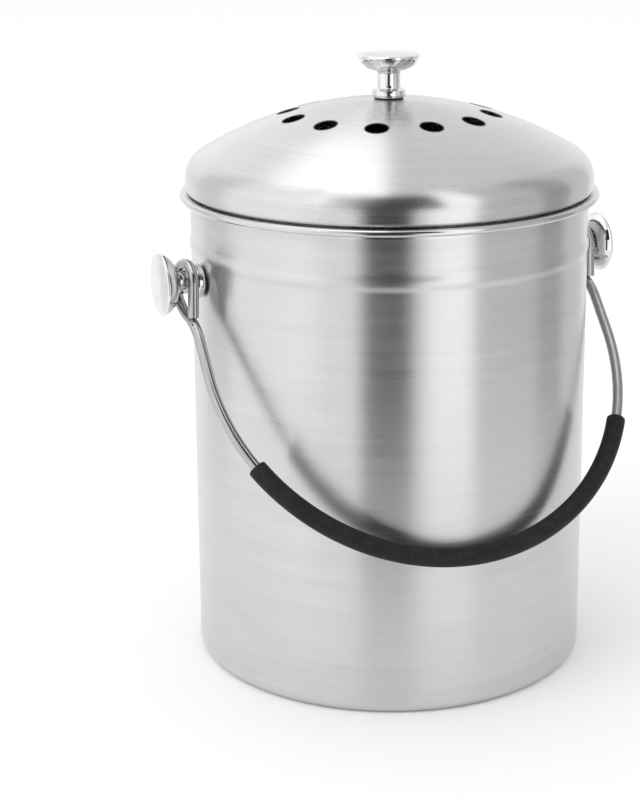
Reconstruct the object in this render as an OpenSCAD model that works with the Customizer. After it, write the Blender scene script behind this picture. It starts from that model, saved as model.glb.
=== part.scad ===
// Compost caddy: steel pail with a swinging bail, a lift-off domed lid and a charcoal filter.
// Z is up, the origin is the centre of the base, the ears lie on X and the front faces -Y.

/* [Pail] */
// Outside diameter of the wall
body_d = 175; // [150:1:200]
// Height from the table to the top of the rim
body_h = 211; // [180:1:240]
// Sheet thickness of pail, lid and retainer
sheet_t = 0.6; // [0.5:0.1:1]
// Outside radius of the corner between wall and foot
corner_r = 4; // [3:0.5:8]
// Width of the foot ring the pail stands on
foot_w = 6; // [4:0.5:12]
// How far the floor panel is pressed up
floor_lift = 1.6; // [1:0.1:3]

/* [Rim and bead] */
// How far the rolled rim stands out of the wall
rim_out = 4.65; // [3.8:0.05:6]
// Diameter of the roll
roll_d = 3.1; // [2.8:0.1:4]
// Distance of the bead's middle below the top of the rim
bead_drop = 23; // [18:0.5:28]
// Height of the bead
bead_h = 8.4; // [6:0.1:12]
// How far the bead stands out of the wall
bead_out = 0.6; // [0.3:0.1:1]

/* [Knobs and screws] */
// Distance between the bead and a knob's seal
ear_gap = 0.3; // [0.3:0.1:10]
// Diameter of a knob's head
head_d = 27; // [25:0.1:30]
// Thickness of a knob's head
head_h = 7.05; // [6.5:0.05:8]
// Height of a knob's collar
collar_h = 5.4; // [4.5:0.1:7]
// Diameter of a knob's neck
neck_d = 10.1; // [9:0.1:11]
// Play of the bail wire along the neck
neck_play = 2.25; // [1.85:0.05:4]
// Thickness of a knob's seal
seal_t = 0.6; // [0.6:0.1:2]
// Thread diameter of the screws
screw_d = 5; // [4:0.5:6]
// Length of the screws under the head
screw_l = 11; // [9:0.5:12]

/* [Bail] */
// Diameter of the bail wire
wire_d = 4.6; // [4:0.1:5]
// Distance from the wall to the middle of a leg
leg_gap = 7.5; // [7:0.1:10]
// Height of a leg between the ear axis and the big bow
leg_h = 45; // [36:0.5:60]
// Diameter of the grip sleeve
grip_d = 8.2; // [7:0.1:12]
// Angle of the arc that the sleeve covers
grip_span = 126; // [90:1:150]
// Air between the resting grip and the wall
rest_gap = 0.3; // [0.3:0.1:1]

/* [Lid] */
// How far the lid's edge stands out of the wall
lid_over = 2.1; // [1.6:0.1:2.6]
// Height of the dome's top above the rim
dome_rise = 39.4; // [34:0.1:44]
// Height of the lid's upright edge
edge_h = 5.2; // [3:0.1:8]
// Radius of the dome's shoulder
shoulder_r = 12.8; // [10:0.1:16]
// Air between the resting lid and the rim
seat_gap = 0.3; // [0.3:0.1:0.6]
// Radial clearance between plug ring and mouth
mouth_gap = 0.6; // [0.4:0.1:1.5]
// Depth of the plug ring below the lid's edge
ring_h = 12; // [9:0.5:16]
// Number of vent holes
vent_n = 12; // [6:1:18]
// Diameter of a vent hole
vent_d = 9.6; // [6:0.2:12]
// Diameter of the circle of vent holes
vent_ring_d = 89; // [70:1:110]

/* [Filter and retainer] */
// Depth of the retainer pan that shows below the plug ring
pan_h = 6.6; // [5:0.1:10]
// Radius of the pan's lower corner
pan_corner = 3.4; // [2:0.1:4.5]
// Diameter of the window
window_d = 99; // [80:1:120]
// Height of the lip that pushes into the plug ring
lip_h = 8; // [5:0.5:10]
// Radial fit between lip and plug ring
lip_fit = 0.08; // [0.05:0.01:0.2]
// Air round the filter disc
filter_gap = 6.7; // [2:0.1:10]
// Thickness of the filter disc
filter_t = 7; // [4:0.5:9]

/* [Hidden] */
$fn = 96;
e = 0.01;
body_r = body_d / 2;
mouth_r = body_r - sheet_t;
rim_r = body_r + rim_out;
roll_r = roll_d / 2;
roll_x = rim_r - roll_r;
roll_z = body_h - roll_r;
flare_r = 2;
bend_in = 0.4;
bend_out = bend_in + sheet_t;
bead_z = body_h - bead_drop;
bead_R = (bead_h * bead_h / 4 + bead_out * bead_out) / (2 * bead_out);
head_r = head_d / 2;
neck_r = neck_d / 2;
wire_r = wire_d / 2;
grip_r = grip_d / 2;
collar_r = neck_r + wire_r + 0.05;
under_z = collar_h + wire_d + neck_play;
knob_h = under_z + head_h;
seal_r = collar_r - 1;
ear_z = bead_z - bead_h / 2 - ear_gap - seal_r;
washer_r = 6;
washer_x = sqrt(mouth_r * mouth_r - washer_r * washer_r) - 1.05;
leg_x = body_r + leg_gap;
rest_a = asin((body_r + grip_r + rest_gap) / (leg_x + leg_h));
hook_gap = 0.35;
hook_sink = 0.7;
hook_r = neck_r + wire_r + hook_gap + hook_sink;
hook_wrap = 209.5;
hook_tilt = 10.5;
tail_l = 14.6;
bend_r = 25;
knob_x = body_r + seal_t;
hook_x = knob_x + collar_h + wire_r - 0.4;
lid_r = body_r + lid_over;
lid_z = body_h + seat_gap;
apex_z = body_h + dome_rise;
shoulder_x = lid_r - shoulder_r;
shoulder_z = lid_z + edge_h;
crown_h = apex_z - shoulder_z;
crown_r = (pow(shoulder_x, 2) + pow(crown_h, 2) - pow(shoulder_r, 2)) / (2 * (crown_h - shoulder_r));
crown_z = apex_z - crown_r;
hem_r = 2;
plug_r = mouth_r - mouth_gap;
plug_in = plug_r - sheet_t;
seam_z = lid_z - ring_h;
pan_z = seam_z - pan_h;
lip_r = plug_in - lip_fit;
window_h = 1.8;
filter_r = plug_in - filter_gap;
vent_r = vent_ring_d / 2;
vent_tilt = asin(vent_r / crown_r);
lid_washer_r = 7;
lid_washer_z = crown_z + sqrt(pow(crown_r - sheet_t, 2) - pow(lid_washer_r, 2)) - 1.05;

// Quarter disc round the origin, on the sides that the two signs give
module quarter(r, x_sign, y_sign) {
    intersection() {
        circle(r);
        translate([min(0, x_sign * r), min(0, y_sign * r)]) square(r);
    }
}

// Quarter turn of the sheet with outside radius r
module bend(r, x_sign, y_sign) {
    difference() {
        quarter(r, x_sign, y_sign);
        circle(r - sheet_t);
    }
}

// Pail
module bead_profile() {
    difference() {
        translate([body_r + bead_out - bead_R, bead_z]) circle(bead_R);
        translate([body_r + bead_out - bead_R, bead_z]) circle(bead_R - sheet_t);
        translate([-2 * bead_R, bead_z - 2 * bead_R])
            square([body_r - sheet_t + 2 * bead_R, 4 * bead_R]);
    }
}

module roll_profile() {
    translate([roll_x, roll_z]) difference() {
        circle(roll_r);
        circle(roll_r - sheet_t);
        polygon([[0, 0], [0, 4], [-4, 4], [-4, -2.3]]);
    }
}

module wall_profile() {
    flare_x = mouth_r + flare_r;
    flare_z = body_h - flare_r;
    difference() {
        translate([mouth_r, corner_r]) square([sheet_t, flare_z - corner_r]);
        translate([body_r + bead_out - bead_R, bead_z]) circle(bead_R - sheet_t);
    }
    translate([flare_x, flare_z]) bend(flare_r, -1, 1);
    translate([flare_x, body_h - sheet_t]) square([roll_x - flare_x, sheet_t]);
}

module floor_profile() {
    foot_in = body_r - corner_r - foot_w;
    translate([body_r - corner_r, corner_r]) bend(corner_r, 1, -1);
    translate([foot_in, 0]) square([foot_w, sheet_t]);
    polygon([[foot_in, 0], [foot_in, sheet_t], [foot_in - floor_lift, floor_lift + sheet_t],
        [foot_in - floor_lift - sheet_t / 2, floor_lift + sheet_t],
        [foot_in - floor_lift - sheet_t / 2, floor_lift], [foot_in - sheet_t / 2, 0]]);
    translate([0, floor_lift]) square([foot_in - floor_lift, sheet_t]);
}

module bucket() {
    color("silver") difference() {
        rotate_extrude() {
            wall_profile();
            floor_profile();
            bead_profile();
            roll_profile();
        }
        translate([0, 0, ear_z]) rotate([0, 90, 0])
            cylinder(d = screw_d + 0.4, h = 3 * body_r, center = true);
    }
}

// Knob profile with the collar's foot at height zero
module knob_profile() {
    cheek_r = 4.75;
    cheek_x = head_r - cheek_r;
    hollow_r = wire_r;
    flare = 2.2;
    foot_c = 0.35;
    difference() {
        union() {
            polygon([[0, 0], [collar_r - foot_c, 0], [collar_r, foot_c],
                [collar_r, collar_h - hollow_r], [0, collar_h - hollow_r]]);
            square([neck_r + hollow_r, collar_h]);
            square([neck_r, knob_h - 2]);
            translate([neck_r - e, under_z - flare]) square([flare + e, flare + e]);
            translate([0, under_z]) square([cheek_x, knob_h - under_z - 1.9]);
            translate([cheek_x, under_z + cheek_r]) intersection() {
                circle(cheek_r);
                translate([-e, -cheek_r]) square([cheek_r + e, cheek_r]);
            }
            translate([0, under_z + cheek_r - e])
                square([head_r, knob_h - under_z - cheek_r - 1.9 + 2 * e]);
            intersection() {
                translate([0, knob_h - 118]) circle(118, $fn = 720);
                translate([0, knob_h - 2]) square([head_r - 1.15, 3]);
            }
            translate([head_r - 1.2, knob_h - 1.9]) quarter(1.2, 1, 1);
        }
        translate([neck_r + hollow_r, collar_h]) circle(hollow_r);
        translate([neck_r + flare, under_z - flare]) circle(flare);
        translate([-e, -e]) square([screw_d / 2 + e, screw_l + e]);
    }
}

module knob() {
    color("gainsboro") rotate_extrude() knob_profile();
}

module ear(side) {
    translate([0, 0, ear_z]) rotate([0, 90 * side, 0]) children();
}

module ear_seal(side) {
    color("dimgray") difference() {
        ear(side) translate([0, 0, knob_x - 1.6]) difference() {
            cylinder(r = seal_r, h = 1.6);
            translate([0, 0, -1]) cylinder(d = screw_d + 0.4, h = 4);
        }
        cylinder(r = body_r, h = 2 * body_h, $fn = 720);
    }
}

module ear_washer(side) {
    color("lightgray") ear(side) translate([0, 0, washer_x]) difference() {
        cylinder(r = washer_r, h = 1);
        translate([0, 0, -1]) cylinder(d = screw_d + 0.4, h = 3);
    }
}

// Pan head screw, thread end up, underside of the head at height zero
module screw() {
    head_w = 4.6;
    round_r = 1.6;
    color("darkgray") difference() {
        union() {
            rotate_extrude() {
                translate([0, -3]) square([head_w - round_r, 3]);
                translate([0, round_r - 3]) square([head_w, 3 - round_r]);
                translate([head_w - round_r, round_r - 3]) quarter(round_r, 1, -1);
            }
            translate([0, 0, -e]) cylinder(d = screw_d - 0.1, h = screw_l - 0.3);
        }
        translate([0, 0, -3 - e]) cylinder(r = 1.6, h = 1.8, $fn = 6);
    }
}

module ear_screw(side) {
    ear(side) translate([0, 0, washer_x]) screw();
}

module ear_seal_left() { ear_seal(-1); }
module ear_seal_right() { ear_seal(1); }
module ear_washer_left() { ear_washer(-1); }
module ear_washer_right() { ear_washer(1); }
module ear_screw_left() { ear_screw(-1); }
module ear_screw_right() { ear_screw(1); }
module ear_knob_left() { ear(-1) translate([0, 0, knob_x]) knob(); }
module ear_knob_right() { ear(1) translate([0, 0, knob_x]) knob(); }

// Bail: the legs hang along -Z before the whole bail is leaned on the front wall
module wire_arc(r, a) {
    rotate_extrude(angle = a) translate([r, 0]) circle(wire_r);
}

// Small swelling where two bends of the wire meet
module knuckle(p) {
    translate(p) sphere(wire_r + 0.04);
}

module hook(x) {
    tail_c = 0.3;
    translate([x, 0, -hook_sink]) rotate([0, 0, hook_tilt]) {
        rotate([0, -90, 0]) rotate([0, 0, 90 - hook_wrap]) wire_arc(hook_r, hook_wrap);
        rotate([hook_wrap - 180, 0, 0]) {
            translate([0, -hook_r, -tail_l]) rotate_extrude()
                polygon([[0, 0], [wire_r - tail_c, 0], [wire_r, tail_c], [wire_r, tail_l],
                    [0, tail_l]]);
            knuckle([0, -hook_r, 0]);
        }
        knuckle([0, hook_r, 0]);
    }
}

// Double bend that brings a leg from the hook's side back over the ear axis
module leg(side, x) {
    top = [x - hook_r * sin(hook_tilt), hook_r * cos(hook_tilt)];
    off = [side * leg_x, 0] - top;
    m = norm(off);
    a = acos(1 - m / (2 * bend_r));
    drop = 2 * bend_r * sin(a);
    translate([top[0], top[1], -hook_sink]) rotate([0, 0, atan2(off[1], off[0])]) {
        translate([bend_r, 0, 0]) rotate([90, 0, 0]) rotate([0, 0, 180]) wire_arc(bend_r, a);
        translate([m - bend_r, 0, -drop]) rotate([90, 0, 0]) wire_arc(bend_r, a);
        knuckle([m / 2, 0, -drop / 2]);
        knuckle([m, 0, -drop]);
    }
    translate([side * leg_x, 0, -leg_h])
        cylinder(r = wire_r, h = leg_h - hook_sink - drop);
    knuckle([side * leg_x, 0, -leg_h]);
}

module bail_pose() {
    translate([0, 0, ear_z]) rotate([-rest_a, 0, 0]) children();
}

module bail_wire() {
    color("gainsboro") bail_pose() {
        hook(-hook_x + 0.05);
        hook(hook_x + 0.1);
        leg(-1, -hook_x + 0.05);
        leg(1, hook_x + 0.1);
        translate([0, 0, -leg_h]) rotate([90, 0, 0]) rotate([0, 0, 180])
            wire_arc(leg_x, 180);
    }
}

// Sleeve with its two ends chamfered
module grip_sleeve() {
    end_c = 0.9;
    color("#202020") bail_pose() translate([0, 0, -leg_h]) rotate([90, 0, 0]) difference() {
        rotate([0, 0, 270 - grip_span / 2]) rotate_extrude(angle = grip_span)
            translate([leg_x, 0]) difference() {
                circle(grip_r);
                circle(wire_r + 0.05);
            }
        for (side = [-1, 1]) rotate([0, 0, 270 + side * grip_span / 2]) translate([leg_x, 0, 0])
            rotate([-90 * side, 0, 0]) rotate_extrude()
                polygon([[grip_r - end_c - 0.1, 0.1], [grip_r + 1, 0.1],
                    [grip_r + 1, -end_c - 1]]);
    }
}

// Lid
module dome_fill(t) {
    a = atan2(shoulder_z - crown_z, shoulder_x);
    far = 2 * crown_r;
    intersection() {
        translate([0, crown_z]) circle(crown_r - t);
        translate([0, crown_z]) polygon([[0, 0], [far * cos(a), far * sin(a)], [0, far]]);
    }
    translate([shoulder_x, shoulder_z]) circle(shoulder_r - t);
    translate([0, lid_z + hem_r])
        square([lid_r - t, shoulder_z - lid_z - hem_r]);
}

module dome_profile() {
    flange_in = plug_r + bend_in + 0.05;
    intersection() {
        difference() {
            dome_fill(0);
            dome_fill(sheet_t);
        }
        translate([0, lid_z + hem_r]) square([lid_r + 1, apex_z]);
    }
    translate([lid_r - hem_r, lid_z + hem_r]) bend(hem_r, 1, -1);
    translate([flange_in, lid_z]) square([lid_r - hem_r - flange_in, sheet_t]);
}

module lid_dome() {
    color("silver") difference() {
        rotate_extrude() dome_profile();
        translate([0, 0, apex_z - 3]) cylinder(d = screw_d + 0.4, h = 6);
        for (i = [0:vent_n - 1]) rotate([0, 0, 360 * i / vent_n - 90])
            translate([0, 0, crown_z]) rotate([0, vent_tilt, 0])
                translate([0, 0, crown_r - 3]) cylinder(d = vent_d, h = 6);
    }
}

module plug_ring() {
    flange_x = lid_r - hem_r - 0.1;
    flange_z = lid_z + sheet_t;
    bend_x = plug_r + bend_in;
    bend_z = flange_z - bend_in;
    color("silver") rotate_extrude() {
        translate([plug_in, seam_z]) square([sheet_t, bend_z - seam_z]);
        translate([bend_x, bend_z]) bend(bend_out, -1, 1);
        translate([bend_x, flange_z]) square([flange_x - bend_x, sheet_t]);
    }
}

module lid_seal() {
    color("dimgray") difference() {
        translate([0, 0, apex_z + seal_t - 1.6]) cylinder(r = seal_r, h = 1.6);
        translate([0, 0, crown_z]) sphere(crown_r, $fn = 360);
        translate([0, 0, apex_z - 3]) cylinder(d = screw_d + 0.4, h = 6);
    }
}

module lid_knob() { translate([0, 0, apex_z + seal_t]) knob(); }

module lid_washer() {
    color("lightgray") translate([0, 0, lid_washer_z]) difference() {
        cylinder(r = lid_washer_r, h = 1);
        translate([0, 0, -1]) cylinder(d = screw_d + 0.4, h = 3);
    }
}

module lid_screw() {
    translate([0, 0, lid_washer_z]) screw();
}

// Filter retainer and filter
module filter_retainer() {
    gap = 0.3;
    window_r = window_d / 2;
    corner_x = plug_r - pan_corner;
    turn_x = window_r + bend_out;
    top_z = seam_z - gap;
    color("silver") rotate_extrude() {
        translate([window_r, pan_z + bend_out]) square([sheet_t, window_h - bend_out]);
        translate([turn_x, pan_z + bend_out]) bend(bend_out, -1, -1);
        translate([turn_x, pan_z]) square([corner_x - turn_x, sheet_t]);
        translate([corner_x, pan_z + pan_corner]) bend(pan_corner, 1, -1);
        translate([plug_r - sheet_t, pan_z + pan_corner])
            square([sheet_t, top_z - sheet_t - pan_z - pan_corner]);
        translate([plug_r - sheet_t, top_z - sheet_t]) quarter(sheet_t, 1, 1);
        translate([lip_r - sheet_t, top_z - sheet_t]) square([plug_r - lip_r, sheet_t]);
        translate([lip_r - sheet_t, top_z - sheet_t]) square([sheet_t, lip_h + sheet_t + gap]);
    }
}

module charcoal_filter() {
    color("#181818") translate([0, 0, pan_z + window_h + 0.3]) rotate_extrude() {
        square([filter_r - 1, filter_t]);
        translate([0, 1]) square([filter_r, filter_t - 2]);
        for (z = [1, filter_t - 1]) translate([filter_r - 1, z]) circle(1);
    }
}

bucket();
ear_seal_left();
ear_seal_right();
ear_knob_left();
ear_knob_right();
ear_washer_left();
ear_washer_right();
ear_screw_left();
ear_screw_right();
bail_wire();
grip_sleeve();
lid_dome();
plug_ring();
lid_seal();
lid_knob();
lid_washer();
lid_screw();
filter_retainer();
charcoal_filter();
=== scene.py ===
import math

import bmesh
import bpy
import numpy as np
from mathutils import Matrix, Vector


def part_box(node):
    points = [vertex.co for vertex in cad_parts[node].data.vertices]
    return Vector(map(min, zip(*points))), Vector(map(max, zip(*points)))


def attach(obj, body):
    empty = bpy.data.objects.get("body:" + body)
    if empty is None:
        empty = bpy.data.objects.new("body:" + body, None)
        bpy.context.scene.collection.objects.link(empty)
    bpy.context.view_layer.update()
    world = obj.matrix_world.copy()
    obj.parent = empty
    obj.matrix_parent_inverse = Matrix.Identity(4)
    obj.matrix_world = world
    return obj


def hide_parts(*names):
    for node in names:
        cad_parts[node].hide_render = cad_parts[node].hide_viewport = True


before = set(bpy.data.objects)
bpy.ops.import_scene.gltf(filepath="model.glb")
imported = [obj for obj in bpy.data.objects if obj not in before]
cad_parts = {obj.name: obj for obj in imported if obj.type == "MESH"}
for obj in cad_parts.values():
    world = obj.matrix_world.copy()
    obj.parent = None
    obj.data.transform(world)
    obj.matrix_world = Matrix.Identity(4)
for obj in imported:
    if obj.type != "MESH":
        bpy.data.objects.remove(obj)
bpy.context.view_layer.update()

# Sizes in metres: driving dimensions, then what follows from them or from the frame
MM = 0.001
sheet = 0.6 * MM
bend_mid = 0.7 * MM
wall_r = 87.5 * MM
corner_r = 4 * MM
foot_w = 6 * MM
floor_lift = 1.6 * MM
rim_out = 4.65 * MM
roll_r = 1.55 * MM
flare_r = 2 * MM
bead_h = 8.4 * MM
bead_out = 0.6 * MM
bead_drop = 23 * MM
lid_over = 2.1 * MM
edge_h = 5.2 * MM
dome_rise = 39.4 * MM
shoulder_r = 12.8 * MM
hem_r = 2 * MM
seat_gap = 0.3 * MM
mouth_gap = 0.6 * MM
vent_count = 12
vent_r = 4.8 * MM
vent_ring_r = 44.5 * MM
window_r = 49.5 * MM
pan_corner = 3.4 * MM
wire_r = 2.3 * MM
leg_gap = 7.5 * MM
leg_h = 45 * MM
grip_r = 4.1 * MM
grip_span = math.radians(126)
rest_gap = 0.3 * MM
head_r = 13.5 * MM
head_h = 7.05 * MM
collar_h = 5.4 * MM
neck_r = 5.05 * MM
neck_play = 2.25 * MM
seal_t = 0.6 * MM
ear_gap = 0.3 * MM
hook_sink = 0.7 * MM
hook_gap = 0.35 * MM
hook_wrap = math.radians(209.5)
hook_tilt = math.radians(10.5)
tail_l = 14.6 * MM
bend_r = 25 * MM
tail_ease = 0.25 * MM
hook_closer = 0.4 * MM
vent_overlap = 0.02 * MM
left_shift = 0.05 * MM
right_shift = 0.1 * MM
floor_bend = 1.2 * MM
flange_gap = 0.45 * MM
ring_inset = 0.4 * MM
window_lip = 1.5 * MM
lip_fit = 0.08 * MM
step_gap = 0.3 * MM
step_bend = 0.3 * MM
grip_ease = 1.1 * MM
fibre_sink = 0.08 * MM

rim_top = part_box("bucket")[1].z
pan_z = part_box("filter_retainer")[0].z
filter_low, filter_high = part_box("charcoal_filter")
mouth_r = wall_r - sheet
rim_r = wall_r + rim_out
bead_z = rim_top - bead_drop
collar_r = neck_r + wire_r + 0.05 * MM
seal_r = collar_r - 1 * MM
under_z = collar_h + 2 * wire_r + neck_play
knob_h = under_z + head_h
ear_z = bead_z - bead_h / 2 - ear_gap - seal_r
knob_x = wall_r + seal_t
hook_r = neck_r + wire_r + hook_gap + hook_sink
hook_x = knob_x + collar_h + wire_r - hook_closer
leg_x = wall_r + leg_gap
lean = math.asin((wall_r + grip_r + rest_gap) / (leg_x + leg_h))
lid_r = wall_r + lid_over
lid_z = rim_top + seat_gap
apex_z = rim_top + dome_rise
shoulder_x = lid_r - shoulder_r
shoulder_z = lid_z + edge_h
crown_h = apex_z - shoulder_z
crown_r = (shoulder_x**2 + crown_h**2 - shoulder_r**2) / (2 * (crown_h - shoulder_r))
crown_z = apex_z - crown_r
shoulder_a = math.atan2(shoulder_z - crown_z, shoulder_x)
plug_r = mouth_r - mouth_gap
plug_in = plug_r - sheet
seam_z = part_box("plug_ring")[0].z
TURN = 192


# Meshes
def arc(cx, cz, r, start, end, steps):
    """Points of an arc in the section plane, angles in degrees."""
    turns = np.radians(np.linspace(start, end, steps + 1))
    return [(cx + r * math.cos(a), cz + r * math.sin(a)) for a in turns]


def line(a, b, steps=1):
    """Points from a to b, both ends included."""
    return [(a[0] + (b[0] - a[0]) * i / steps, a[1] + (b[1] - a[1]) * i / steps)
            for i in range(steps + 1)]


def joined(*runs):
    """One section path from several runs, without repeated points."""
    path = []
    for run in runs:
        for p in run:
            if not path or math.dist(p, path[-1]) > 1e-6:
                path.append(p)
    return path


def bent(corners, radius, steps=5):
    """A section path through corners, each one rounded by radius."""
    path = [corners[0]]
    for before, here, after in zip(corners, corners[1:], corners[2:]):
        v, a, b = Vector(here), Vector(before), Vector(after)
        u, w = (a - v).normalized(), (b - v).normalized()
        half = u.angle(w) / 2
        reach = min(radius / math.tan(half), (a - v).length * 0.49, (b - v).length * 0.49)
        r = reach * math.tan(half)
        centre = v + (u + w).normalized() * (r / math.sin(half))
        first, last = v + u * reach - centre, v + w * reach - centre
        for i in range(steps + 1):
            path.append(tuple(centre + first.slerp(last, i / steps).normalized() * r))
    path.append(corners[-1])
    return joined(path)


def offset(path, distance):
    """The path moved sideways, to the left of its direction."""
    pts = np.array(path)
    step = np.diff(pts, axis=0)
    side = np.stack([-step[:, 1], step[:, 0]], 1) / np.linalg.norm(step, axis=1)[:, None]
    normal = np.vstack([side[:1], side[:-1] + side[1:], side[-1:]])
    normal /= np.linalg.norm(normal, axis=1)[:, None]
    cosine = np.concatenate([[1], np.sum(normal[1:-1] * side[1:], 1), [1]])
    return [tuple(p) for p in pts + normal * (distance / cosine)[:, None]]


def sheet_section(path, thickness=sheet):
    """Closed outline of a bent sheet round its middle line, the free edges rounded."""
    left, right = offset(path, thickness / 2), offset(path, -thickness / 2)
    out = list(left)
    for end, towards in ((-1, -2), (0, 1)):
        edge, back = Vector(path[end]), Vector(path[towards])
        if edge.x > 1e-6:
            ahead = (edge - back).normalized() * thickness / 2
            start = Vector(left[end] if end else right[end]) - edge
            for i in range(1, 4):
                a = math.pi * i / 4
                out.append(tuple(edge + start * math.cos(a) + ahead * math.sin(a)))
        if end:
            out += right[::-1]
    return out


def mesh_object(name, verts, faces, along=None, smooth=40):
    """A mesh object with smooth shading, sharp only where faces meet at more than smooth
    degrees. along is kept as a UV map: x is the way round, y the way along the section."""
    mesh = bpy.data.meshes.new(name)
    mesh.from_pydata([tuple(v) for v in verts], [], faces)
    if along is not None:
        layer = mesh.uv_layers.new(name="section")
        index = np.zeros(len(mesh.loops), int)
        mesh.loops.foreach_get("vertex_index", index)
        layer.data.foreach_set("uv", np.array(along, float)[index].ravel())
    mesh.polygons.foreach_set("use_smooth", [True] * len(mesh.polygons))
    mesh.set_sharp_from_angle(angle=math.radians(smooth))
    mesh.validate()
    mesh.update()
    obj = bpy.data.objects.new(name, mesh)
    bpy.context.scene.collection.objects.link(obj)
    return obj


def spun(name, section, closed=True, turn=TURN, place=Matrix.Identity(4), smooth=40):
    """A section turned round Z. Points on the axis become one pole."""
    verts, along, rings = [], [], []
    travelled = 0
    for k, (r, z) in enumerate(section):
        if k:
            travelled += math.dist(section[k - 1], section[k])
        if r < 1e-7:
            rings.append([len(verts)] * turn)
            verts.append(place @ Vector((0, 0, z)))
            along.append((0, travelled))
            continue
        rings.append(list(range(len(verts), len(verts) + turn)))
        for j in range(turn):
            a = 2 * math.pi * j / turn
            verts.append(place @ Vector((r * math.cos(a), r * math.sin(a), z)))
            along.append((j / turn, travelled))
    faces = []
    pairs = list(zip(rings, rings[1:]))
    if closed and section[0][0] > 1e-7:
        pairs.append((rings[-1], rings[0]))
    for low, high in pairs:
        for j in range(turn):
            n = (j + 1) % turn
            corners = [low[j], low[n], high[n], high[j]]
            face = [v for i, v in enumerate(corners) if v not in corners[:i]]
            if len(face) > 2:
                faces.append(face)
    return turned_out(mesh_object(name, verts, faces, along, smooth))


def turned_out(obj):
    """Makes every face of a closed mesh look outward."""
    mesh = obj.data
    volume = 0
    for p in mesh.polygons:
        c = [mesh.vertices[v].co for v in p.vertices]
        for i in range(1, len(c) - 1):
            volume += c[0].dot(c[i].cross(c[i + 1]))
    if volume < 0:
        mesh.flip_normals()
    return obj


def tube(name, path, radius, sides, ease):
    """A round tube along a path, its ends closed and their edges rounded by ease."""
    pts = [Vector(p) for p in path]
    ahead = [(b - a).normalized() for a, b in zip(pts, pts[1:])]
    ahead = [ahead[0]] + [(a + b).normalized() for a, b in zip(ahead, ahead[1:])] + [ahead[-1]]
    side = ahead[0].orthogonal().normalized()
    travelled = 0
    caps = [(1 - math.cos(a), math.sin(a)) for a in np.linspace(0, math.pi / 2, 5)][:-1]
    stations = [(pts[0] + ahead[0] * ease * back, ahead[0], radius - ease * (1 - out))
                for back, out in caps]
    stations += [(p, t, radius) for p, t in zip(pts, ahead)
                 if (p - pts[0]).length >= ease and (p - pts[-1]).length >= ease]
    stations += [(pts[-1] - ahead[-1] * ease * back, ahead[-1], radius - ease * (1 - out))
                 for back, out in caps[::-1]]
    verts, along = [], []
    for k, (p, t, r) in enumerate(stations):
        if k:
            travelled += (p - stations[k - 1][0]).length
        side = (side - t * side.dot(t)).normalized()
        up = t.cross(side)
        for j in range(sides):
            a = 2 * math.pi * j / sides
            verts.append(p + (side * math.cos(a) + up * math.sin(a)) * r)
            along.append((j / sides, travelled))
    n = len(stations)
    faces = []
    for k in range(n - 1):
        for j in range(sides):
            m = (j + 1) % sides
            faces.append([k * sides + j, k * sides + m, (k + 1) * sides + m, (k + 1) * sides + j])
    faces.append(list(range(sides))[::-1])
    faces.append([(n - 1) * sides + j for j in range(sides)])
    return turned_out(mesh_object(name, verts, faces, along))


# Materials
class Value:
    """A socket that can be used like a number in shader maths."""

    def __init__(self, paint, socket):
        self.paint, self.socket = paint, socket

    def math(self, operation, *others):
        return self.paint.node("ShaderNodeMath", {"operation": operation}, self, *others)

    def __add__(self, other):
        return self.math("ADD", other)

    __radd__ = __add__

    def __mul__(self, other):
        return self.math("MULTIPLY", other)

    __rmul__ = __mul__

    def __sub__(self, other):
        return self.math("SUBTRACT", other)

    def __rsub__(self, other):
        return self.paint.node("ShaderNodeMath", {"operation": "SUBTRACT"}, other, self)

    def __truediv__(self, other):
        return self.math("DIVIDE", other)

    def __rtruediv__(self, other):
        return self.paint.node("ShaderNodeMath", {"operation": "DIVIDE"}, other, self)

    def __pow__(self, other):
        return self.math("POWER", other)

    def between(self, low, high, start=0.0, end=1.0):
        """Smoothly from start at low to end at high, held outside."""
        settings = {"interpolation_type": "SMOOTHSTEP", "clamp": True}
        return self.paint.node("ShaderNodeMapRange", settings, self, low, high, start, end)


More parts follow.
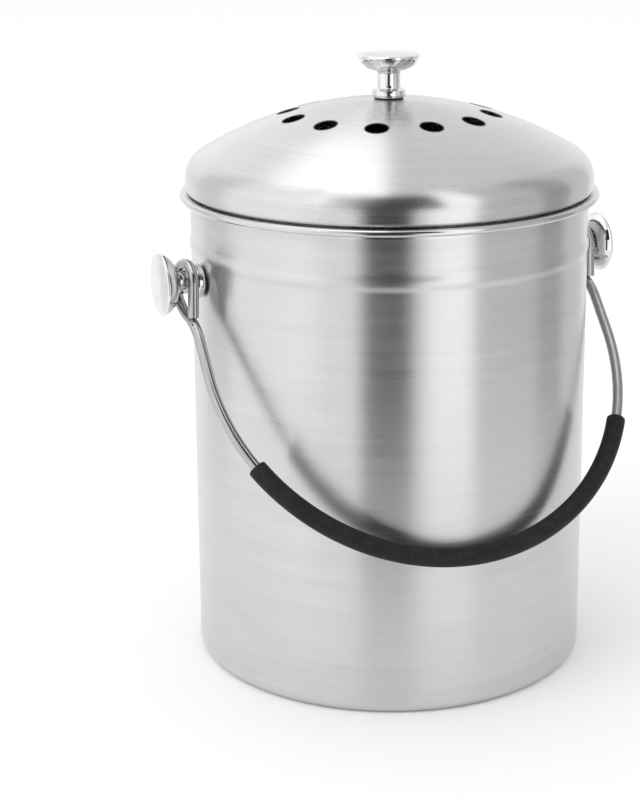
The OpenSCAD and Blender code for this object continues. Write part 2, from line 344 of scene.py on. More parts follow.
class Paint:
    """Builds one material around a Principled shader."""

    def __init__(self, name, **constants):
        self.material = bpy.data.materials.new(name)
        self.material.use_nodes = True
        self.tree = self.material.node_tree
        self.shader = self.tree.nodes["Principled BSDF"]
        for socket, value in constants.items():
            self.shader.inputs[socket.replace("_", " ")].default_value = value

    def node(self, kind, settings, *values, output=0, **named):
        """Any node: its settings first, then its socket values or links."""
        made = self.tree.nodes.new(kind)
        for key, value in settings.items():
            setattr(made, key, value)
        pairs = list(zip(made.inputs, values))
        pairs += [(made.inputs[key.replace("_", " ")], value) for key, value in named.items()]
        for socket, value in pairs:
            if isinstance(value, Value):
                self.tree.links.new(value.socket, socket)
            elif value is not None:
                socket.default_value = value
        return Value(self, made.outputs[output])

    def position(self):
        return self.node("ShaderNodeTexCoord", {}, output="Object")

    def split(self, vector):
        """x, y and z of a vector."""
        first = self.node("ShaderNodeSeparateXYZ", {}, vector)
        return [Value(self, s) for s in first.socket.node.outputs]

    def vector(self, x, y, z):
        return self.node("ShaderNodeCombineXYZ", {}, x, y, z)

    def travelled(self):
        """How far along the section a point lies, in metres."""
        return self.split(self.node("ShaderNodeUVMap", {"uv_map": "section"}))[1]

    def noise(self, vector, scale, detail=2.0, rough=0.5):
        return self.node("ShaderNodeTexNoise", {}, Vector=vector, Scale=scale, Detail=detail,
                         Roughness=rough)

    def blend(self, factor, first, second):
        """A colour between two colours."""
        settings = {"data_type": "RGBA", "clamp_factor": True}
        made = self.node("ShaderNodeMix", settings, output=2)
        inputs = made.socket.node.inputs
        for socket, value in ((inputs[0], factor), (inputs[6], first), (inputs[7], second)):
            if isinstance(value, Value):
                self.tree.links.new(value.socket, socket)
            else:
                socket.default_value = value if socket == inputs[0] else (*value, 1.0)
        return made

    def bump(self, height, distance):
        return self.node("ShaderNodeBump", {}, Strength=1.0, Distance=distance,
                         Height=height)

    def set(self, socket, value):
        self.tree.links.new(value.socket, self.shader.inputs[socket])


def round_and_height(paint):
    """Place on a turned piece: the direction from the axis, and the height."""
    x, y, z = paint.split(paint.position())
    r = (x * x + y * y) ** 0.5 + 1e-5
    return x / r, y / r, z


def brushed_steel(name, tint, rough, lines, rim=None, pitch=2600):
    """Satin sheet steel, its fine lines running round the axis. Above the height rim the
    sheet is smoother, where it has been rolled over."""
    paint = Paint(name, Metallic=1.0, Anisotropic=0.82, Anisotropic_Rotation=0.25)
    cx, cy, z = round_and_height(paint)
    s = paint.travelled()
    fine = paint.noise(paint.vector(cx * 1.3, cy * 1.3, s * pitch), 1.0, 2.0, 0.5)
    broad = paint.noise(paint.vector(cx * 0.9, cy * 0.9, s * 240), 1.0, 3.0, 0.6)
    mottle = paint.noise(paint.vector(cx * 5.0, cy * 5.0, s * 60), 1.0, 3.0, 0.55)
    streak = (fine - 0.5) * 0.55 + (broad - 0.5) * 0.45
    bright = streak * 1.1 + (mottle - 0.5) * 0.2 + 0.5
    dark = tuple(c * 0.84 for c in tint)
    light = tuple(min(1.0, c * 1.14) for c in tint)
    paint.set("Base Color", paint.blend(bright, dark, light))
    satin = rough + streak * 0.14 + (mottle - 0.5) * 0.08
    if rim is not None:
        satin = satin * z.between(rim - 0.0022, rim - 0.0006, 1.0, 0.5)
    paint.set("Roughness", satin)
    paint.set("Normal", paint.bump(fine * 0.7 + broad * 0.3, lines))
    return paint.material


def polished_steel(name, tint, rough):
    """Bright turned steel with the faint marks of handling."""
    paint = Paint(name, Metallic=1.0)
    place = paint.position()
    smear = paint.noise(place, 160.0, 3.0, 0.6)
    speck = paint.noise(place, 1900.0, 2.0, 0.6)
    dark = tuple(c * 0.93 for c in tint)
    paint.set("Base Color", paint.blend(smear.between(0.35, 0.65), dark, tint))
    paint.set("Roughness", rough + (smear - 0.4) * 0.05 + (speck - 0.5) * 0.02)
    paint.set("Normal", paint.bump(speck, 0.000004))
    return paint.material


def drawn_wire(name, tint, rough):
    """Steel wire with the fine lines of the drawing die along it."""
    paint = Paint(name, Metallic=1.0)
    u, v, _ = paint.split(paint.node("ShaderNodeUVMap", {"uv_map": "section"}))
    turn = paint.vector((u * math.tau).math("COSINE") * 9.0, (u * math.tau).math("SINE") * 9.0,
                        v * 90.0)
    die = paint.noise(turn, 1.4, 4.0, 0.65)
    patch = paint.noise(paint.position(), 220.0, 3.0, 0.6)
    dark = tuple(c * 0.8 for c in tint)
    paint.set("Base Color", paint.blend(die.between(0.3, 0.7), dark, tint))
    paint.set("Roughness", rough + (die - 0.5) * 0.08 + (patch - 0.5) * 0.05)
    paint.set("Normal", paint.bump(die * 0.8 + patch * 0.2, 0.000015))
    return paint.material


def soft_rubber(name, tint, sheen, rough=0.55, shine=0.45):
    """Moulded rubber with a fine grain and a little dust."""
    paint = Paint(name, Specular_IOR_Level=shine, Sheen_Weight=sheen, Sheen_Roughness=0.4)
    place = paint.position()
    grain = paint.noise(place, 2600.0, 3.0, 0.6)
    dust = paint.noise(place, 260.0, 4.0, 0.6)
    light = tuple(c * 1.9 + 0.006 for c in tint)
    paint.set("Base Color", paint.blend(dust.between(0.42, 0.72, 0.0, 0.6), tint, light))
    paint.set("Roughness", rough + (grain - 0.5) * 0.25 + (dust - 0.5) * 0.12)
    paint.set("Normal", paint.bump(grain, 0.00006))
    return paint.material


def felt(name, tint):
    """Carbon felt: a tangle of fibres over a lumpy mat."""
    paint = Paint(name, Specular_IOR_Level=0.25, Sheen_Weight=0.25, Sheen_Roughness=0.6)
    place = paint.position()
    lumps = paint.noise(place, 90.0, 4.0, 0.6)
    x, y, z = paint.split(place)
    strands = [paint.noise(paint.vector(x * a + y * b, y * a - x * b, z), 1.0, 4.0, 0.7)
               for a, b in ((380.0, 90.0), (60.0, 420.0), (250.0, -300.0))]
    tangle = strands[0].math("MAXIMUM", strands[1]).math("MAXIMUM", strands[2])
    light = tuple(c * 3.2 for c in tint)
    paint.set("Base Color", paint.blend(tangle.between(0.5, 0.8), tint, light))
    paint.set("Roughness", 0.86 + (lumps - 0.5) * 0.2)
    paint.set("Normal", paint.bump(tangle * 0.6 + lumps, 0.0006))
    return paint.material


steel = (0.62, 0.62, 0.627)
pail_steel = brushed_steel("pail_steel", steel, 0.30, 0.00003, rim=rim_top - 2 * roll_r)
lid_steel = brushed_steel("lid_steel", steel, 0.27, 0.000018, pitch=700)
ring_steel = brushed_steel("ring_steel", steel, 0.26, 0.00003)
pan_steel = brushed_steel("pan_steel", (0.74, 0.74, 0.75), 0.25, 0.000025)
knob_shine = polished_steel("knob_shine", (0.80, 0.80, 0.81), 0.03)
wire_steel = drawn_wire("wire_steel", (0.50, 0.50, 0.505), 0.05)
screw_shine = polished_steel("screw_shine", (0.55, 0.55, 0.56), 0.22)
# Painted shade: the vents' rounded lips get a near-black steel tint that stands in for the dark
# inside the holes.
vent_edge_painted_shade = polished_steel("vent_edge_painted_shade", (0.14, 0.14, 0.142), 0.35)
grip_rubber = soft_rubber("grip_rubber", (0.009, 0.009, 0.0095), 0.03, 0.6, 0.22)
seal_rubber = soft_rubber("seal_rubber", (0.012, 0.012, 0.012), 0.1)
carbon_felt = felt("carbon_felt", (0.008, 0.008, 0.009))


def finish(obj, material, body, replaced):
    """Gives a piece its material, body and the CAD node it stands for."""
    obj.data.materials.clear()
    obj.data.materials.append(material)
    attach(obj, body)
    for node in replaced:
        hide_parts(node)
    return obj


# Pail
def bead_run(r):
    """The wall's swelling below the rim, seen in section."""
    run = []
    for i in range(25):
        t = i / 12 - 1
        run.append((r + bead_out * (1 + math.cos(math.pi * t)) / 2, bead_z + t * bead_h / 2))
    return run


def pail():
    """The drawn pail: pressed foot, wall with its bead, flare and rolled rim."""
    mid = wall_r - sheet / 2
    foot_in = wall_r - corner_r - foot_w
    low = sheet / 2
    panel = floor_lift + sheet / 2
    base = bent([(0, panel), (foot_in - floor_lift, panel), (foot_in, low),
                  (wall_r - corner_r, low)], floor_bend)
    corner = arc(wall_r - corner_r, corner_r, corner_r - sheet / 2, -90, 0, 10)
    wall_low = line((mid, corner_r), (mid, bead_z - bead_h / 2), 24)
    wall_high = line((mid, bead_z + bead_h / 2), (mid, rim_top - flare_r), 6)
    flare_x = mouth_r + flare_r
    flare = arc(flare_x, rim_top - flare_r, flare_r - sheet / 2, 180, 90, 8)
    roll = arc(rim_r - roll_r, rim_top - roll_r, roll_r - sheet / 2, 90, -150, 22)
    path = joined(base, corner, wall_low, bead_run(mid), wall_high, flare, roll)
    return spun("pail_shell", sheet_section(path), turn=256)


finish(pail(), pail_steel, "pail", ["bucket"])


# Knobs, with their foot at the origin and their axis along Z
def knob_section():
    """Foot, collar, hollow for the wire, neck, bowl-shaped underside and crowned top."""
    hollow_r = wire_r
    bowl_r = 8 * MM
    edge_r = 0.9 * MM
    blend_r = 1.6 * MM
    crown = 118 * MM
    chamfer = 0.35 * MM
    rim_z = knob_h - 1.6 * MM
    steep = math.radians(16.7)
    bowl_x = head_r - edge_r - (bowl_r - edge_r) * math.cos(steep)
    bowl_z = rim_z + (bowl_r - edge_r) * math.sin(steep)
    flat = math.acos((neck_r + blend_r - bowl_x) / (bowl_r + blend_r))
    blend_z = bowl_z - (bowl_r + blend_r) * math.sin(flat)
    foot = [(0, 0), (collar_r - chamfer, 0), (collar_r, chamfer)]
    ease = 0.2 * MM
    side = line((collar_r, chamfer), (collar_r, collar_h - hollow_r - ease), 3)
    side.append((collar_r - ease * 0.5, collar_h - hollow_r))
    hollow = arc(neck_r + hollow_r, collar_h, hollow_r, -94, -180, 10)
    neck = line((neck_r, collar_h), (neck_r, blend_z), 3)
    into = arc(neck_r + blend_r, blend_z, blend_r, 180, 180 - math.degrees(flat), 7)
    bowl = arc(bowl_x, bowl_z, bowl_r, -math.degrees(flat), -math.degrees(steep), 14)
    edge = arc(head_r - edge_r, rim_z, edge_r, -math.degrees(steep), 78, 9)
    top = [(r, knob_h - crown + math.sqrt(crown**2 - r**2))
           for r in np.linspace(head_r - edge_r * 0.8, 0, 9)]
    return joined(foot, side, hollow, neck, into, bowl, edge, top)


def knob(name, place):
    """A turned knob at its place."""
    return spun(name, knob_section(), closed=False, turn=96, place=place, smooth=50)


def facing(side):
    """Puts a piece that stands on Z on the left (-1) or right (1) side of the pail."""
    return Matrix.Translation((side * knob_x, 0, ear_z)) @ Matrix.Rotation(
        side * math.pi / 2, 4, "Y")


def dress(node, material):
    """Gives a solid of the frame its material."""
    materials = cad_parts[node].data.materials
    materials.clear()
    materials.append(material)


for side, word in ((-1, "left"), (1, "right")):
    ear = knob("knob_" + word, facing(side))
    finish(ear, knob_shine, "pail", ["ear_knob_" + word])
    dress("ear_seal_" + word, seal_rubber)
    dress("ear_washer_" + word, screw_shine)
    dress("ear_screw_" + word, screw_shine)

top_knob = knob("knob_top", Matrix.Translation((0, 0, apex_z + seal_t)))
finish(top_knob, knob_shine, "lid", ["lid_knob"])
dress("lid_seal", seal_rubber)
dress("lid_washer", screw_shine)
dress("lid_screw", screw_shine)


# Bail
def hook_run(x):
    """Tail end, tail and hook of one side, from the free end to the rear of the neck."""
    pts = []
    lean_back = hook_wrap - math.pi
    for i in range(7):
        y, z = -hook_r, -tail_l * (1 - i / 6)
        pts.append((0, y * math.cos(lean_back) - z * math.sin(lean_back),
                    y * math.sin(lean_back) + z * math.cos(lean_back)))
    for i in range(1, 49):
        a = math.pi / 2 - hook_wrap * (1 - i / 48)
        pts.append((0, hook_r * math.sin(a), hook_r * math.cos(a)))
    turn = Matrix.Rotation(hook_tilt, 4, "Z")
    return [turn @ Vector(p) + Vector((x, 0, -hook_sink)) for p in pts]


def leg_run(side, x):
    """The double bend and the straight leg, from the hook down to the big bow."""
    top = Vector((x - hook_r * math.sin(hook_tilt), hook_r * math.cos(hook_tilt), -hook_sink))
    foot = Vector((side * leg_x, 0, -hook_sink))
    across = (foot - top).normalized()
    m = (foot - top).length
    swing = math.acos(1 - m / (2 * bend_r))
    drop = 2 * bend_r * math.sin(swing)
    pts = []
    for i in range(1, 13):
        a = swing * i / 12
        pts.append(top + across * bend_r * (1 - math.cos(a)) - Vector((0, 0, bend_r * math.sin(a))))
    for i in range(11, -1, -1):
        a = swing * i / 12
        pts.append(top + across * (m - bend_r * (1 - math.cos(a)))
                   - Vector((0, 0, drop - bend_r * math.sin(a))))
    for i in range(1, 7):
        low = hook_sink + drop + (leg_h - hook_sink - drop) * i / 6
        pts.append(Vector((side * leg_x, 0, -low)))
    return pts


def bow(start, end, steps):
    """Points on the big bow, 180 degrees is the left leg and 360 the right one."""
    return [Vector((leg_x * math.cos(a), 0, leg_x * math.sin(a) - leg_h))
            for a in np.linspace(start, end, steps + 1)]


def at_rest(points):
    """Leans the bail forward until the sleeve rests on the wall, and lifts it to the ears."""
    turn = Matrix.Rotation(-lean, 4, "X")
    return [turn @ Vector(p) + Vector((0, 0, ear_z)) for p in points]


def wire_path():
    """The wire from the left tail, round the bow, to the right tail."""
    left, right = -hook_x + left_shift, hook_x + right_shift
    run = hook_run(left) + leg_run(-1, left) + bow(math.pi, 2 * math.pi, 120)[1:-1]
    run += leg_run(1, right)[::-1] + hook_run(right)[::-1]
    return at_rest(run)


wire = tube("bail_bow", wire_path(), wire_r, 32, tail_ease)
finish(wire, wire_steel, "bail", ["bail_wire"])


def grip():
    """The sleeve: a soft tube on the middle of the wire, its ends rounded."""
    middle = 1.5 * math.pi
    path = at_rest(bow(middle - grip_span / 2, middle + grip_span / 2, 150))
    return tube("grip_tube", path, grip_r, 40, grip_ease)


finish(grip(), grip_rubber, "bail", ["grip_sleeve"])


# Lid
def on_crown(r_ball, tilt, heading):
    """A point of the crown's ball: tilt from the top, heading round Z."""
    return Vector((r_ball * math.sin(tilt) * math.cos(heading),
                   r_ball * math.sin(tilt) * math.sin(heading),
                   crown_z + r_ball * math.cos(tilt)))


lip_r = 0.35 * MM
hole_r = vent_r + lip_r
zone_in, zone_out = 36 * MM, 53 * MM
PER_VENT = 24


def vent_patch(r_ball, heading):
    """Rings of points from the border of one vent's sector to the edge of its hole."""
    tilt_in, tilt_out = math.asin(zone_in / crown_r), math.asin(zone_out / crown_r)
    half = math.pi / vent_count
    border = []
    n = PER_VENT
    for i in range(n):
        border.append((tilt_in, heading - half + 2 * half * i / n))
    for i in range(n):
        border.append((tilt_in + (tilt_out - tilt_in) * i / n, heading + half))
    for i in range(n):
        border.append((tilt_out, heading + half - 2 * half * i / n))
    for i in range(n):
        border.append((tilt_out - (tilt_out - tilt_in) * i / n, heading - half))
    outer = [on_crown(1, t, h) - Vector((0, 0, crown_z)) for t, h in border]
    tilt = math.asin(vent_ring_r / crown_r)
    axis = on_crown(1, tilt, heading) - Vector((0, 0, crown_z))
    round_z = Vector((-math.sin(heading), math.cos(heading), 0))
    down = axis.cross(round_z)
    open_a = math.asin(hole_r / crown_r)
    inner = []
    for p in outer:
        a = math.atan2(p.dot(round_z), p.dot(down))
        rim = round_z * math.sin(a) + down * math.cos(a)
        inner.append(axis * math.cos(open_a) + rim * math.sin(open_a))
    rings = []
    for k in range(9):
        f = k / 8
        rings.append([((1 - f) * o + f * i).normalized() * r_ball + Vector((0, 0, crown_z))
                      for o, i in zip(outer, inner)])
    return rings


def lid():
    """The dome: inner cap, a belt with the vents cut clean through it, and outer part with
    shoulder, upright edge and turned-in hem, on both sides of the sheet."""
    verts, faces, along, known = [], [], [], {}
    turn = vent_count * PER_VENT
    offset_a = -math.pi / 2 - math.pi / vent_count

    def vert(p, s):
        key = (round(p.x * 1e7), round(p.y * 1e7), round(p.z * 1e7))
        if key not in known:
            known[key] = len(verts)
            verts.append(p)
            along.append((0.5, s))
        return known[key]

    def quad(a, b, c, d):
        face = [v for i, v in enumerate((a, b, c, d)) if v not in (a, b, c, d)[:i]]
        if len(face) > 2:
            faces.append(face)

    def turned(path, start):
        rings, s = [], start
        for k, (r, z) in enumerate(path):
            if k:
                s += math.dist(path[k - 1], path[k])
            rings.append([vert(Vector((r * math.cos(offset_a + math.tau * j / turn),
                                       r * math.sin(offset_a + math.tau * j / turn), z)), s)
                          for j in range(turn)])
        for low, high in zip(rings, rings[1:]):
            for j in range(turn):
                quad(low[j], low[(j + 1) % turn], high[(j + 1) % turn], high[j])

    tilt_in, tilt_out = math.asin(zone_in / crown_r), math.asin(zone_out / crown_r)
    full_tilt = math.pi / 2 - shoulder_a
    flange_in = plug_r + flange_gap
    for depth in (0, sheet):
        ball = crown_r - depth
        cap = [(ball * math.sin(t), crown_z + ball * math.cos(t))
               for t in np.linspace(0, tilt_in, 13)]
        turned(cap, 0)
        for k in range(vent_count):
            rings = vent_patch(ball, -math.pi / 2 + math.tau * k / vent_count)
            ids = []
            for ring in rings:
                ids.append([vert(p, ball * math.atan2(math.hypot(p.x, p.y), p.z - crown_z))
                            for p in ring])
            for low, high in zip(ids, ids[1:]):
                for j in range(len(low)):
                    m = (j + 1) % len(low)
                    quad(low[j], low[m], high[m], high[j])
        rest = [(ball * math.sin(t), crown_z + ball * math.cos(t))
                for t in np.linspace(tilt_out, full_tilt, 14)]
        shoulder = arc(shoulder_x, shoulder_z, shoulder_r - depth, math.degrees(shoulder_a), 0, 16)
        upright = line((lid_r - depth, shoulder_z), (lid_r - depth, lid_z + hem_r), 3)
        hem = arc(lid_r - hem_r, lid_z + hem_r, hem_r - depth, 0, -90, 8)
        flat = line((lid_r - hem_r, lid_z + depth), (flange_in, lid_z + depth), 1)
        turned(joined(rest, shoulder, upright, hem, flat), ball * tilt_out)
    turned([(flange_in, lid_z), (flange_in, lid_z + sheet)], 0)
    for k in range(vent_count):
        heading = -math.pi / 2 + math.tau * k / vent_count
        top, low = vent_patch(crown_r, heading)[-1], vent_patch(crown_r - sheet, heading)[-1]
        for j in range(len(top)):
            m = (j + 1) % len(top)
            quad(vert(top[j], 0), vert(top[m], 0), vert(low[m], 0), vert(low[j], 0))
    return mesh_object("lid_shell", verts, faces, along)


def faces_outward(obj):
    """Makes neighbouring faces agree and look outward."""
    work = bmesh.new()
    work.from_mesh(obj.data)
    bmesh.ops.recalc_face_normals(work, faces=work.faces)
    work.to_mesh(obj.data)
    work.free()
    return obj


finish(faces_outward(lid()), lid_steel, "lid", ["lid_dome"])


# Repeats: small trees of geometry nodes
class Repeat:
    """A geometry tree with named inputs, run once into a plain mesh."""

    def __init__(self, name):
        self.tree = bpy.data.node_groups.new(name, "GeometryNodeTree")
        self.tree.interface.new_socket("Geometry", in_out="OUTPUT", socket_type="NodeSocketGeometry")
        self.values = {}
        self.entry = self.tree.nodes.new("NodeGroupInput")
        self.exit = self.tree.nodes.new("NodeGroupOutput")

    def input(self, name, kind, value):
        socket = self.tree.interface.new_socket(name, in_out="INPUT", socket_type=kind)
        self.values[socket.identifier] = value
        return self.entry.outputs[name]

    def node(self, kind, settings=None, **values):
        made = self.tree.nodes.new(kind)
        for key, value in (settings or {}).items():
            setattr(made, key, value)
        for key, value in values.items():
            socket = next(s for s in made.inputs if s.name == key.replace("_", " ") and s.enabled)
            if isinstance(value, bpy.types.NodeSocket):
                self.tree.links.new(value, socket)
            else:
                socket.default_value = value
        return next(s for s in made.outputs if s.enabled)

    def run(self, name, geometry, material):
        """Realises the geometry, sets its material and returns it as a plain object."""
        real = self.node("GeometryNodeRealizeInstances", Geometry=geometry)
        done = self.node("GeometryNodeSetMaterial", Geometry=real, Material=material)
        self.tree.links.new(done, self.exit.inputs[0])
        holder = bpy.data.objects.new(name + "_seed", bpy.data.meshes.new(name + "_seed"))
        bpy.context.scene.collection.objects.link(holder)
        modifier = holder.modifiers.new(name, "NODES")
        modifier.node_group = self.tree
        for identifier, value in self.values.items():
            modifier[identifier] = value
        holder.update_tag()
        bpy.context.view_layer.update()
        found = holder.evaluated_get(bpy.context.evaluated_depsgraph_get())
        mesh = bpy.data.meshes.new_from_object(found)
        mesh.name = name
        bpy.data.objects.remove(holder)
        obj = bpy.data.objects.new(name, mesh)
        bpy.context.scene.collection.objects.link(obj)
        return obj


def vent_lips():
    """One rounded lip round every vent, square to the dome. Its near-black tint is painted shade,
    standing in for the dark inside the holes.
    """
    repeat = Repeat("vent_lips")
    count = repeat.input("Count", "NodeSocketInt", vent_count)
    ring = repeat.input("Ring radius", "NodeSocketFloat", vent_ring_r)
    height = repeat.input("Height", "NodeSocketFloat",
                          math.sqrt(crown_r**2 - vent_ring_r**2) - sheet / 2)
    lip = repeat.input("Lip radius", "NodeSocketFloat", hole_r - vent_overlap)
    thick = repeat.input("Lip thickness", "NodeSocketFloat", lip_r)
    spots = repeat.node("GeometryNodeMeshCircle", Vertices=count, Radius=ring)
    lift = repeat.node("ShaderNodeCombineXYZ", Z=height)
    raised = repeat.node("GeometryNodeSetPosition", Geometry=spots, Offset=lift)
    path = repeat.node("GeometryNodeCurvePrimitiveCircle", Resolution=64, Radius=lip)
    section = repeat.node("GeometryNodeCurvePrimitiveCircle", Resolution=12, Radius=thick)
    solid = repeat.node("GeometryNodeCurveToMesh", Curve=path, Profile_Curve=section)
    rounded = repeat.node("GeometryNodeSetShadeSmooth", Geometry=solid)
    place = repeat.node("GeometryNodeInputPosition")
    square = repeat.node("FunctionNodeAlignRotationToVector", {"axis": "Z"}, Vector=place)
    copies = repeat.node("GeometryNodeInstanceOnPoints", Points=raised, Instance=rounded,
                         Rotation=square)
    home = repeat.node("ShaderNodeCombineXYZ", Z=crown_z)
    moved = repeat.node("GeometryNodeTransform", Geometry=copies, Translation=home)
    return repeat.run("vent_lips", moved, vent_edge_painted_shade)


def felt_fibres(z, up, name):
    """Loose fibres on one face of the filter disc."""
    repeat = Repeat(name)
    amount = repeat.input("Density", "NodeSocketFloat", 140000.0)
    seed = repeat.input("Seed", "NodeSocketInt", 7)
    disc_r = repeat.input("Disc radius", "NodeSocketFloat", filter_high.x - 1.6 * MM)
    level = repeat.input("Level", "NodeSocketFloat", z)
    disc = repeat.node("GeometryNodeMeshCircle", {"fill_type": "NGON"}, Vertices=64, Radius=disc_r)
    spots = repeat.node("GeometryNodeDistributePointsOnFaces", Mesh=disc, Density=amount, Seed=seed)
    lift = repeat.node("ShaderNodeCombineXYZ", Z=level)
    raised = repeat.node("GeometryNodeSetPosition", Geometry=spots, Offset=lift)
    fibre = repeat.node("GeometryNodeCurveQuadraticBezier", Resolution=4,
                        Start=(-1.1 * MM, 0, 0), Middle=(0, 0.5 * MM, up * 0.16 * MM),
                        End=(1.2 * MM, -0.1 * MM, 0.02 * MM))
    thread = repeat.node("GeometryNodeCurvePrimitiveCircle", Resolution=3, Radius=0.035 * MM)
    strand = repeat.node("GeometryNodeCurveToMesh", Curve=fibre, Profile_Curve=thread)
    spin = repeat.node("FunctionNodeRandomValue", {"data_type": "FLOAT_VECTOR"},
                       Min=(-0.12, -0.12, 0), Max=(0.12, 0.12, math.tau), Seed=seed)
    size = repeat.node("FunctionNodeRandomValue", {"data_type": "FLOAT"}, Min=0.5, Max=1.4,
                       Seed=seed)
    copies = repeat.node("GeometryNodeInstanceOnPoints", Points=raised, Instance=strand,
                         Rotation=spin, Scale=size)
    return repeat.run(name, copies, carbon_felt)


finish(vent_lips(), vent_edge_painted_shade, "lid", [])


# Plug ring, retainer and filter
def plug_ring():
    """The ring that goes down into the mouth, with its flange on the dome's hem."""
    mid = plug_r - sheet / 2
    top = lid_z + 1.5 * sheet
    path = bent([(mid, seam_z + sheet / 2), (mid, top), (lid_r - hem_r - ring_inset, top)], bend_mid)
    return spun("plug_band", sheet_section(path))


def retainer():
    """The pan: window with a turned-up edge, corner, wall, step and the lip in the ring."""
    low = pan_z + sheet / 2
    side = plug_r - sheet / 2
    lip = plug_in - lip_fit - sheet / 2
    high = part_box("filter_retainer")[1].z - sheet / 2
    step = seam_z - step_gap - sheet / 2
    window = bent([(window_r + sheet / 2, pan_z + window_lip), (window_r + sheet / 2, low),
                   (side - pan_corner, low)], bend_mid)
    corner = arc(plug_r - pan_corner, pan_z + pan_corner, pan_corner - sheet / 2, -90, 0, 9)
    rise = bent([(side, pan_z + pan_corner), (side, step), (lip, step), (lip, high)], step_bend)
    return spun("retainer_pan", sheet_section(joined(window, corner, rise)))


def filter_disc():
    """The felt disc with soft edges."""
    r, low, high, soft = filter_high.x, filter_low.z, filter_high.z, 1 * MM
    section = joined([(0, low)], line((0.0, low), (r - soft, low), 8),
                     arc(r - soft, low + soft, soft, -90, 0, 5),
                     arc(r - soft, high - soft, soft, 0, 90, 5),
                     line((r - soft, high), (0.0, high), 8))
    return spun("felt_disc", section, closed=False, turn=128)


finish(plug_ring(), ring_steel, "lid", ["plug_ring"])
finish(retainer(), pan_steel, "retainer", ["filter_retainer"])
finish(filter_disc(), carbon_felt, "filter", ["charcoal_filter"])
for face, out_z, word in ((filter_low.z, -1, "low"), (filter_high.z, 1, "high")):
    fibres = felt_fibres(face - out_z * fibre_sink, out_z, "felt_fibres_" + word)
    finish(fibres, carbon_felt, "filter", [])


# Stage: floor, lamps, cards and camera
picture_h_px = 800
centre_y_px = 320
sensor_mm = 36
focal_px = 1899
ear_turn = math.radians(23.63)
camera_far = 0.825
camera_high = 0.369
camera_dip = math.radians(14.84)
camera_yaw = math.radians(-2.14)
camera_roll = math.radians(-0.50)


def to_object(v):
    """From the camera's own ground frame to the caddy's, turned by the ears' angle."""
    c, s = math.cos(ear_turn), math.sin(ear_turn)
    return Vector((v[0] * c + v[1] * s, -v[0] * s + v[1] * c, v[2]))


def camera():
    """The camera, its place and tilt found from the picture's perspective."""
    cy, sy = math.cos(camera_yaw), math.sin(camera_yaw)
    cp, sp = math.cos(camera_dip), math.sin(camera_dip)
    ahead = Vector((sy * cp, cy * cp, -sp))
    right = Vector((cy, -sy, 0))
    up = right.cross(ahead)
    c, s = math.cos(camera_roll), math.sin(camera_roll)
    right, up = right * c + up * s, up * c - right * s
    data = bpy.data.cameras.new("camera")
    data.sensor_fit = "AUTO"
    data.sensor_width = 36
    data.lens = focal_px * sensor_mm / picture_h_px
    data.shift_y = (centre_y_px - picture_h_px / 2) / picture_h_px
    data.clip_start, data.clip_end = 0.01, 50
    obj = bpy.data.objects.new("camera", data)
    bpy.context.scene.collection.objects.link(obj)
    axes = Matrix([to_object(right), to_object(up), -to_object(ahead)]).transposed()
    obj.matrix_world = Matrix.Translation(to_object((0, -camera_far, camera_high))) @ axes.to_4x4()
    bpy.context.scene.camera = obj
    return obj


view = camera()
view_turn = math.atan2(view.location.x, -view.location.y)


def around(degrees, distance, height):
    """A place round the pail: 0 is the camera's side, positive to its right."""
    a = view_turn + math.radians(degrees)
    return Vector((math.sin(a) * distance, -math.cos(a) * distance, height))


def floor():
    """The pale floor, a stage piece."""
    size = 8.0
    obj = mesh_object("floor", [(-size, -size, 0), (size, -size, 0), (size, size, 0),
                                (-size, size, 0)], [(0, 1, 2, 3)])
    paint = Paint("floor_white", Roughness=0.9, Specular_IOR_Level=0.0)
    paint.shader.inputs["Base Color"].default_value = (0.98, 0.98, 0.98, 1)
    obj.data.materials.append(paint.material)


def glow_sheet(name, verts, faces, along, level, shape):
    """A sheet that glows evenly and only shows as a reflection in the steel. shape gives its
    opacity from the two values kept in along."""
    obj = mesh_object(name, verts, faces, along)
    paint = Paint(name, Roughness=1.0, Specular_IOR_Level=0.0, Emission_Strength=1.0)
    paint.shader.inputs["Base Color"].default_value = (0, 0, 0, 1)
    paint.shader.inputs["Emission Color"].default_value = (level, level, level, 1)
    u, v, _ = paint.split(paint.node("ShaderNodeUVMap", {"uv_map": "section"}))
    paint.set("Alpha", shape(u, v))
    obj.data.materials.append(paint.material)
    obj.visible_camera = obj.visible_diffuse = obj.visible_shadow = False


def card(name, start, end, low, high, distance, level, fade, fade_end=None):
    """A curved card between two directions and two heights, soft towards its edges."""
    steps = 24
    verts, faces, along = [], [], []
    for i in range(steps + 1):
        degrees = start + (end - start) * i / steps
        verts += [around(degrees, distance, low), around(degrees, distance, high)]
        along += [(degrees, low), (degrees, high)]
    for i in range(steps):
        faces.append((2 * i, 2 * i + 2, 2 * i + 3, 2 * i + 1))
    last = end - (fade if fade_end is None else fade_end)

    def shape(u, v):
        sides = u.between(start, start + fade) * u.between(last, end, 1.0, 0.0)
        return sides * v.between(high - 0.35 * (high - low), high, 1.0, 0.0)

    glow_sheet(name, verts, faces, along, level, shape)


def overhead(name, left, right, near, far, height, level, fade, fade_right=None):
    """A flat card above the lid, measured from the camera's side."""
    corners = [(left, near), (right, near), (right, far), (left, far)]
    verts = []
    for across, away in corners:
        verts.append(around(0, -away, height) + around(90, across, 0))

    last = right - (fade if fade_right is None else fade_right)

    def shape(u, v):
        sides = u.between(left, left + fade) * u.between(last, right, 1.0, 0.0)
        return sides * v.between(near, near + 0.1) * v.between(far - 0.3, far, 1.0, 0.0)

    glow_sheet(name, verts, [(0, 3, 2, 1)], corners, level, shape)


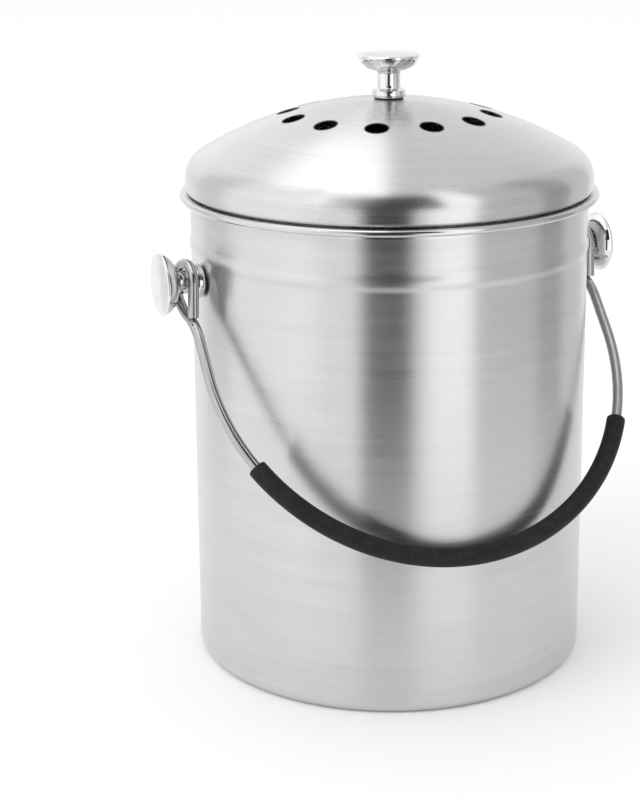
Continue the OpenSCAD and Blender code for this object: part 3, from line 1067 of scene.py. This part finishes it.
def lamp(name, degrees, distance, height, size, glow, aim=0.12):
    """A soft box; glow is the brightness of its face."""
    data = bpy.data.lights.new(name, "AREA")
    data.shape = "RECTANGLE"
    data.size, data.size_y = size
    data.energy = glow * math.pi * size[0] * size[1]
    obj = bpy.data.objects.new(name, data)
    bpy.context.scene.collection.objects.link(obj)
    obj.location = around(degrees, distance, height)
    obj.rotation_euler = (Vector((0, 0, aim)) - obj.location).to_track_quat("-Z", "Y").to_euler()
    obj.visible_camera = False


def surroundings():
    """White all round."""
    world = bpy.data.worlds.new("studio")
    bpy.context.scene.world = world
    world.use_nodes = True
    back = world.node_tree.nodes["Background"]
    back.inputs["Color"].default_value = (1, 1, 1, 1)
    back.inputs["Strength"].default_value = 1.0


floor()
surroundings()
card("card_front_low", -18, 17, 0.0, 0.42, 0.33, 0.06, 10)
card("card_front_high", -40, 30, 0.27, 0.78, 0.37, 0.02, 44, 6)
card("card_left", -44, -14, 0.0, 0.9, 0.39, 1.02, 16)
card("card_left_mid", -98, -30, 0.0, 0.9, 0.40, 1.18, 14)
card("card_left_far", -126, -88, 0.0, 0.9, 0.41, 0.88, 10)
card("card_key_low", 16, 46, 0.0, 0.50, 0.38, 1.46, 7)
card("card_key_high", 25, 50, 0.30, 1.1, 0.39, 1.6, 5)
card("card_right", 41, 86, 0.0, 0.9, 0.40, 0.68, 7)
card("card_side", 78, 112, 0.0, 0.9, 0.395, 0.44, 9)
card("card_side_far", 105, 140, 0.0, 0.9, 0.405, 0.76, 8)
card("card_back", 100, 196, 0.30, 1.5, 0.9, 0.97, 12)
card("card_back_left", 186, 262, 0.30, 1.5, 0.905, 1.15, 12)
overhead("ceiling_left", -2.0, -0.30, -1.6, 1.6, 1.5, 1.47, 0.25)
overhead("ceiling_bright", -0.75, 0.03, -1.0, 1.6, 1.45, 1.80, 0.40, 0.08)
overhead("ceiling_right", -0.02, 2.0, -1.6, 1.6, 1.5, 0.86, 0.08)
overhead("flag_front", -0.5, 0.5, -1.05, -0.85, 1.0, 0.02, 0.05)
card("flag_left", -66, -57, 0.25, 1.3, 0.45, 0.02, 2)
card("flag_right", 60, 67, 0.25, 1.3, 0.45, 0.02, 2)
lamp("softbox_left", -50, 1.5, 1.4, (1.2, 1.2), 1.7)

scene = bpy.context.scene
scene.view_settings.view_transform = "Standard"
